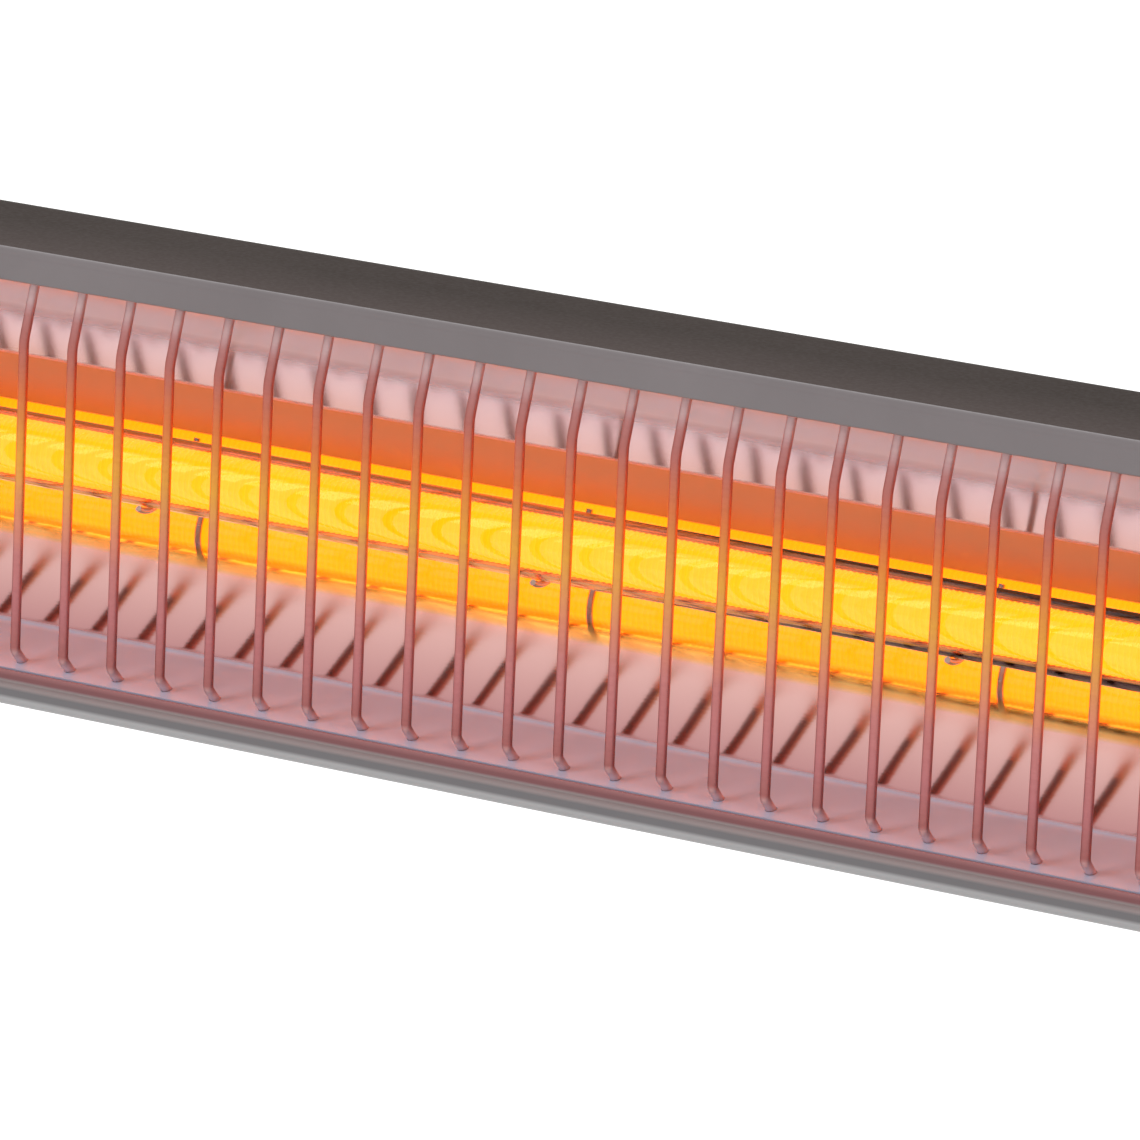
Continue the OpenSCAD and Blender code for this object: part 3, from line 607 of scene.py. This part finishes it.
def make_lamp(name, place, size, power):
    """A round soft lamp that metal and glass don't show."""
    data = bpy.data.lights.new(name, "AREA")
    data.shape = "DISK"
    data.size = size
    data.energy = power
    lamp = bpy.data.objects.new(name, data)
    lamp.visible_glossy = False
    bpy.context.scene.collection.objects.link(lamp)
    lamp.location = place
    lamp.rotation_euler = (Vector(LAMP_TARGET) - Vector(place)).to_track_quat("-Z", "Y").to_euler()


def seen_directly(nodes, links):
    """1 for camera, glossy and transmission rays, 0 for the rest."""
    path = nodes.new("ShaderNodeLightPath")
    value = path.outputs["Is Camera Ray"]
    for name in ("Is Glossy Ray", "Is Transmission Ray"):
        node = nodes.new("ShaderNodeMath")
        node.operation = "MAXIMUM"
        links.new(value, node.inputs[0])
        links.new(path.outputs[name], node.inputs[1])
        value = node.outputs[0]
    return value


def make_world():
    """White where it is seen directly, and soft fill light for the rest."""
    world = bpy.data.worlds.new("studio")
    bpy.context.scene.world = world
    world.use_nodes = True
    nodes, links = world.node_tree.nodes, world.node_tree.links
    background = nodes["Background"]
    background.inputs["Color"].default_value = (1.0, 1.0, 1.0, 1.0)
    strength = nodes.new("ShaderNodeMapRange")
    strength.inputs["To Min"].default_value = 0.55
    links.new(seen_directly(nodes, links), strength.inputs["Value"])
    links.new(strength.outputs["Result"], background.inputs["Strength"])


def make_floor():
    """Pale floor, lifted towards white where it is seen directly."""
    start_clear()
    bpy.ops.mesh.primitive_circle_add(vertices=96, radius=FLOOR_RADIUS, fill_type="NGON",
                                      location=(0, 0, FLOOR_Z))
    floor = bpy.context.active_object
    settle(floor)
    floor.name = "floor"
    finish = Finish("pale_floor", (0.88, 0.88, 0.88), 0.7)
    nodes, links = finish.nodes, finish.links
    lift = nodes.new("ShaderNodeEmission")
    strength = nodes.new("ShaderNodeMath")
    strength.operation = "MULTIPLY"
    strength.inputs[1].default_value = 0.45
    links.new(seen_directly(nodes, links), strength.inputs[0])
    links.new(strength.outputs[0], lift.inputs["Strength"])
    add = nodes.new("ShaderNodeAddShader")
    links.new(finish.shader.outputs["BSDF"], add.inputs[0])
    links.new(lift.outputs["Emission"], add.inputs[1])
    links.new(add.outputs[0], nodes["Material Output"].inputs["Surface"])
    floor.data.materials.append(finish.material)


make_camera()
make_world()
make_floor()
for name, place, size, power in LAMPS:
    make_lamp(name, place, size, power)


# ---------- guard wires ----------

WIRE_RADIUS = 1.25
WIRE_BENDS = [(5, 4), (9, 5), (2.5, 6), (2.5, 6)]     # radius in mm and steps of each bend


def rod_of_rings(start, legs, radius, sides):
    """A round rod that starts at a ring and is drawn out by straight runs and spun bends."""
    start_clear()
    bpy.ops.mesh.primitive_circle_add(vertices=sides, radius=radius * MM, fill_type="NGON", location=start)
    rod = bpy.context.active_object
    settle(rod)
    edit(rod)
    bpy.ops.mesh.select_all(action="SELECT")
    for kind, *leg in legs:
        if kind == "run":
            extrude(*leg)
        else:
            hub, angle, steps = leg
            bpy.ops.mesh.spin(steps=steps, dupli=False, angle=angle, center=hub, axis=(1, 0, 0))
    done()
    return rod


def bend_between(corner, u, v, radius, steps):
    """Start point, end point and spin of a round bend in a plane of constant X."""
    angle = u.angle(v)
    reach = radius * MM * math.tan(angle / 2)
    side = (v - u * u.dot(v)).normalized()
    hub = corner - u * reach + side * radius * MM
    sign = -1.0 if u.cross(v).x > 0 else 1.0
    return corner - u * reach, corner + v * reach, ("bend", hub, sign * angle, steps)


def bent_rod(corners, bends, radius, sides):
    """A rod through corners, with a round bend at each inner one."""
    legs = []
    here = corners[0]
    for before, corner, after, (bend_radius, steps) in zip(corners, corners[1:], corners[2:], bends):
        u = (corner - before).normalized()
        v = (after - corner).normalized()
        begin, end, bend = bend_between(corner, u, v, bend_radius, steps)
        legs.append(("run", begin - here))
        legs.append(bend)
        here = end
    legs.append(("run", corners[-1] - here))
    return rod_of_rings(corners[0], legs, radius, sides)


def make_guard_wires():
    """One bent wire, repeated along the heater."""
    corners = [at(FIRST_WIRE_X, y, z) for y, z in WIRE_LINE]
    wire = bent_rod(corners, WIRE_BENDS, WIRE_RADIUS, sides=16)
    outward(wire)
    repeat(wire, WIRE_COUNT, WIRE_PITCH)
    smooth(wire, degrees=40)
    give(wire, "guard_wires_bent", "heater", WIRE_CHROME, "guard_wires")


make_guard_wires()


# ---------- reflector ----------

REFLECTOR_LENGTH = 692
SHEET_THICKNESS = 0.8
FOLD_REACH = 1.2             # how far the flange's fold reaches from its corner
UPPER_WING_BOW = 2.5         # how far the upper wing's middle stands out of a straight line
SLOT_RADIUS = 1.35           # slots in the flange, that the wires' feet pass through
SLOT_DEPTH = 9.4
SLOT_PLACE = (7.3, 9.9)
HOOK_HOLE_RADIUS = 1.1       # holes in the back, for the tube hooks
HOOK_HOLE_DEPTH = 6
HOOK_HOLE_PLACE = (45.4, 57)


def bowed(first, last, bow, steps):
    """Points of a bowed line in the section, bowing to the right of the way from first to last."""
    run = (last[0] - first[0], last[1] - first[1])
    size = math.hypot(*run)
    side = (run[1] / size, -run[0] / size)
    points = []
    for i in range(steps + 1):
        t = i / steps
        lift = 4 * bow * t * (1 - t)
        points.append((first[0] + run[0] * t + side[0] * lift, first[1] + run[1] * t + side[1] * lift))
    return points


def folded(before, corner, after, reach, steps):
    """Points of a soft fold at a corner of the section."""
    corner = Vector(corner)
    first = corner + (Vector(before) - corner).normalized() * reach
    last = corner + (Vector(after) - corner).normalized() * reach
    points = []
    for i in range(steps + 1):
        t = i / steps
        points.append(tuple(first * (1 - t) ** 2 + corner * (2 * t * (1 - t)) + last * t ** 2))
    return points


def sheet_along(line, length, thickness):
    """A sheet that follows a line of the section, with its wall below the first run."""
    first, second = at(0, *line[0]), at(0, *line[1])
    run = second - first
    start_clear()
    bpy.ops.mesh.primitive_plane_add(size=1, location=(first + second) / 2,
                                     rotation=(math.atan2(run.z, run.y), 0, 0))
    sheet = bpy.context.active_object
    sheet.scale = (length * MM, run.length, 1)
    settle(sheet)
    edit(sheet)
    pick_edges(sheet, lambda middle: (middle - second).length < 0.02 * MM)
    for here, there in zip(line[1:], line[2:]):
        extrude(at(0, *there) - at(0, *here))
    bpy.ops.mesh.select_all(action="SELECT")
    bpy.ops.mesh.normals_make_consistent(inside=False)
    done()
    faces_up = sheet.data.polygons[0].normal.z > 0
    wall = sheet.modifiers.new("wall", "SOLIDIFY")
    wall.thickness = thickness * MM
    wall.offset = -1.0 if faces_up else 1.0
    wall.use_even_offset = True
    apply_all(sheet)
    outward(sheet)
    return sheet


def make_reflector():
    """The folded and bowed trough, with its slots for the wires and holes for the hooks."""
    line = [FLANGE_EDGE] + folded(FLANGE_EDGE, FLANGE_FOLD, LOWER_WING_TOP, FOLD_REACH, steps=4)
    line += [LOWER_WING_TOP, BACK_FOOT] + bowed(BACK_TOP, UPPER_WING_EDGE, UPPER_WING_BOW, steps=24)
    sheet = sheet_along(line, REFLECTOR_LENGTH, SHEET_THICKNESS)
    drill(sheet, SLOT_RADIUS, SLOT_DEPTH, at(FIRST_WIRE_X, *SLOT_PLACE), tilt=45,
          count=WIRE_COUNT, step=WIRE_PITCH)
    drill(sheet, HOOK_HOLE_RADIUS, HOOK_HOLE_DEPTH, at(FIRST_HOOK_X, *HOOK_HOLE_PLACE), tilt=90,
          count=HOOK_COUNT, step=HOOK_PITCH)
    smooth(sheet, degrees=12)
    give(sheet, "reflector_trough", "heater", REFLECTOR_SHEET, "reflector")


make_reflector()


# ---------- tube and winding ----------

WINDING_LENGTH = 660
WINDING_RADIUS = 6.9
COIL_WIRE_RADIUS = 0.55
COIL_PITCH = 1.6
TUBE_LENGTH = 680
TUBE_RADIUS = 9
TUBE_WALL = 1.4


def rod_on_axis(radius, length, sides, ends):
    """A cylinder along the tube's axis."""
    start_clear()
    bpy.ops.mesh.primitive_cylinder_add(vertices=sides, radius=radius * MM, depth=length * MM,
                                        end_fill_type=ends, location=at(0, *TUBE_AXIS),
                                        rotation=(0, math.radians(90), 0))
    rod = bpy.context.active_object
    settle(rod)
    return rod


def make_coil():
    """A close wound resistance wire of four sides, closed at both ends."""
    first_x = COIL_WIRE_RADIUS - WINDING_LENGTH / 2
    y, z = TUBE_AXIS
    start_clear()
    bpy.ops.mesh.primitive_circle_add(vertices=4, radius=COIL_WIRE_RADIUS * MM, fill_type="NOTHING",
                                      location=at(first_x, y, z + WINDING_RADIUS - COIL_WIRE_RADIUS),
                                      rotation=(math.radians(90), 0, 0))
    coil = bpy.context.active_object
    settle(coil)
    bpy.context.scene.cursor.location = at(first_x, y, z)
    bpy.ops.object.origin_set(type="ORIGIN_CURSOR")
    screw = coil.modifiers.new("turns", "SCREW")
    screw.axis = "X"
    screw.angle = math.radians(360)
    screw.screw_offset = COIL_PITCH * MM
    screw.iterations = int(WINDING_LENGTH / COIL_PITCH) - 1
    screw.steps = 12
    screw.render_steps = 12
    screw.use_merge_vertices = False
    apply_all(coil)
    settle(coil)
    edit(coil)
    merge(0.01)
    bpy.ops.mesh.select_all(action="DESELECT")
    bpy.ops.mesh.select_non_manifold()
    bpy.ops.mesh.edge_face_add()
    done()
    outward(coil)
    smooth(coil, degrees=60)
    give(coil, "winding_coil", "heater", GLOWING_WINDING, "heating_coil")


def make_core():
    """The rod inside the coil, of the same glow."""
    core = rod_on_axis(WINDING_RADIUS - 2 * COIL_WIRE_RADIUS, WINDING_LENGTH, sides=32, ends="NGON")
    round_edges(core, width=0.8, segments=3, degrees=60)
    smooth(core, degrees=40)
    give(core, "winding_core", "heater", GLOWING_WINDING)


def make_tube():
    """The clear tube, open at both ends."""
    tube = rod_on_axis(TUBE_RADIUS, TUBE_LENGTH, sides=96, ends="NOTHING")
    outward(tube)
    wall = tube.modifiers.new("wall", "SOLIDIFY")
    wall.thickness = TUBE_WALL * MM
    wall.offset = -1.0
    apply_all(tube)
    round_edges(tube, width=0.4, segments=3, degrees=60)
    smooth(tube, degrees=40)
    give(tube, "quartz_glass", "heater", QUARTZ, "quartz_tube")


make_coil()
make_core()
make_tube()


# ---------- pieces with softened edges ----------

def softened(node, name, body, finish, width, segments):
    """A merged copy of a frame node with its hard edges rounded, in place of the node."""
    only(frame["nodes"][node])
    bpy.ops.object.duplicate()
    piece = bpy.context.active_object
    bpy.ops.object.parent_clear(type="CLEAR_KEEP_TRANSFORM")
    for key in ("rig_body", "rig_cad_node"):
        if key in piece:
            del piece[key]
    edit(piece)
    merge(0.002)
    bpy.ops.mesh.dissolve_limited(angle_limit=math.radians(0.5))
    bpy.ops.mesh.normals_make_consistent(inside=False)
    done()
    round_edges(piece, width, segments, degrees=40)
    smooth(piece, degrees=35)
    even = piece.modifiers.new("even shading", "WEIGHTED_NORMAL")
    even.keep_sharp = True
    apply_all(piece)
    give(piece, name, body, finish, node)


SOFTENED = [
    # node, piece, body, finish, width of the rounding in mm and its segments
    ("left_end_cap", "left_cap_cast", "heater", CAP_PAINT, 0.7, 3),
    ("right_end_cap", "right_cap_cast", "heater", CAP_PAINT, 0.7, 3),
    ("left_knob", "left_knob_moulded", "left_lock", KNOB_PLASTIC, 0.9, 3),
    ("right_knob", "right_knob_moulded", "right_lock", KNOB_PLASTIC, 0.9, 3),
    ("wall_bracket", "wall_bracket_pressed", "wall_mount", BRACKET_PAINT, 0.4, 2),
    ("body_bracket", "body_bracket_pressed", "heater", BRACKET_PAINT, 0.4, 2),
    ("pivot_bolts", "pivot_bolts_turned", "heater", PLATED_STEEL, 0.35, 2),
    ("bracket_bolts", "bracket_bolts_turned", "heater", PLATED_STEEL, 0.3, 2),
    ("pivot_nuts", "pivot_nuts_turned", "heater", PLATED_STEEL, 0.35, 2),
    ("left_cap_screws", "left_cap_screws_turned", "heater", PLATED_STEEL, 0.25, 2),
    ("right_cap_screws", "right_cap_screws_turned", "heater", PLATED_STEEL, 0.25, 2),
    ("left_knob_stud", "left_stud_turned", "left_lock", PLATED_STEEL, 0.4, 2),
    ("right_knob_stud", "right_stud_turned", "right_lock", PLATED_STEEL, 0.4, 2),
    ("left_knob_washer", "left_washer_stamped", "left_lock", PLATED_STEEL, 0.2, 2),
    ("right_knob_washer", "right_washer_stamped", "right_lock", PLATED_STEEL, 0.2, 2),
    ("cable_gland", "cable_gland_moulded", "heater", BLACK_PLASTIC, 0.4, 2),
    ("upper_rail", "upper_rail_drawn", "heater", RAIL_METAL, 0.15, 1),
    ("lower_rail", "lower_rail_drawn", "heater", RAIL_METAL, 0.15, 1),
    ("housing", "housing_drawn", "heater", HOUSING_PAINT, 0.25, 2),
]
for row in SOFTENED:
    softened(*row)


# ---------- finishes of the frame's own nodes ----------

NODE_FINISH = {
    "housing": HOUSING_PAINT, "upper_rail": RAIL_METAL, "lower_rail": RAIL_METAL,
    "left_front_panel": HOUSING_PAINT, "right_front_panel": HOUSING_PAINT,
    "left_end_cap": CAP_PAINT, "right_end_cap": CAP_PAINT,
    "left_gasket": SEAL_RUBBER, "right_gasket": SEAL_RUBBER,
    "heat_shield": SHEET_STEEL, "left_end_plate": SHEET_STEEL, "right_end_plate": SHEET_STEEL,
    "left_holder": SHEET_STEEL, "right_holder": SHEET_STEEL, "tube_hooks": HOOK_STEEL,
    "left_ceramic": CERAMIC_END, "right_ceramic": CERAMIC_END, "terminal_block": CERAMIC_END,
    "left_pin": PLATED_STEEL, "right_pin": PLATED_STEEL, "holder_screws": PLATED_STEEL,
    "left_cap_screws": PLATED_STEEL, "right_cap_screws": PLATED_STEEL, "terminal_screws": PLATED_STEEL,
    "bracket_bolts": PLATED_STEEL, "rivet_nuts": PLATED_STEEL, "pivot_bolts": PLATED_STEEL,
    "pivot_nuts": PLATED_STEEL, "left_knob_stud": PLATED_STEEL, "right_knob_stud": PLATED_STEEL,
    "left_knob_washer": PLATED_STEEL, "right_knob_washer": PLATED_STEEL,
    "live_lead": BROWN_LEAD, "neutral_lead": BLUE_LEAD, "earth_lead": GREEN_LEAD,
    "earth_screw": BRASS_SCREW, "lead_bushes": BLACK_PLASTIC, "cable_gland": BLACK_PLASTIC,
    "gland_nut": BLACK_PLASTIC, "friction_washers": BLACK_PLASTIC,
    "left_knob": KNOB_PLASTIC, "right_knob": KNOB_PLASTIC,
    "body_bracket": BRACKET_PAINT, "wall_bracket": BRACKET_PAINT,
}

for node, finish in NODE_FINISH.items():
    obj = frame["nodes"][node]
    if not obj.material_slots:
        obj.data.materials.append(finish.material)
    for slot in obj.material_slots:
        slot.link = "OBJECT"
        slot.material = finish.material

view = bpy.context.scene.view_settings
view.view_transform = "Standard"
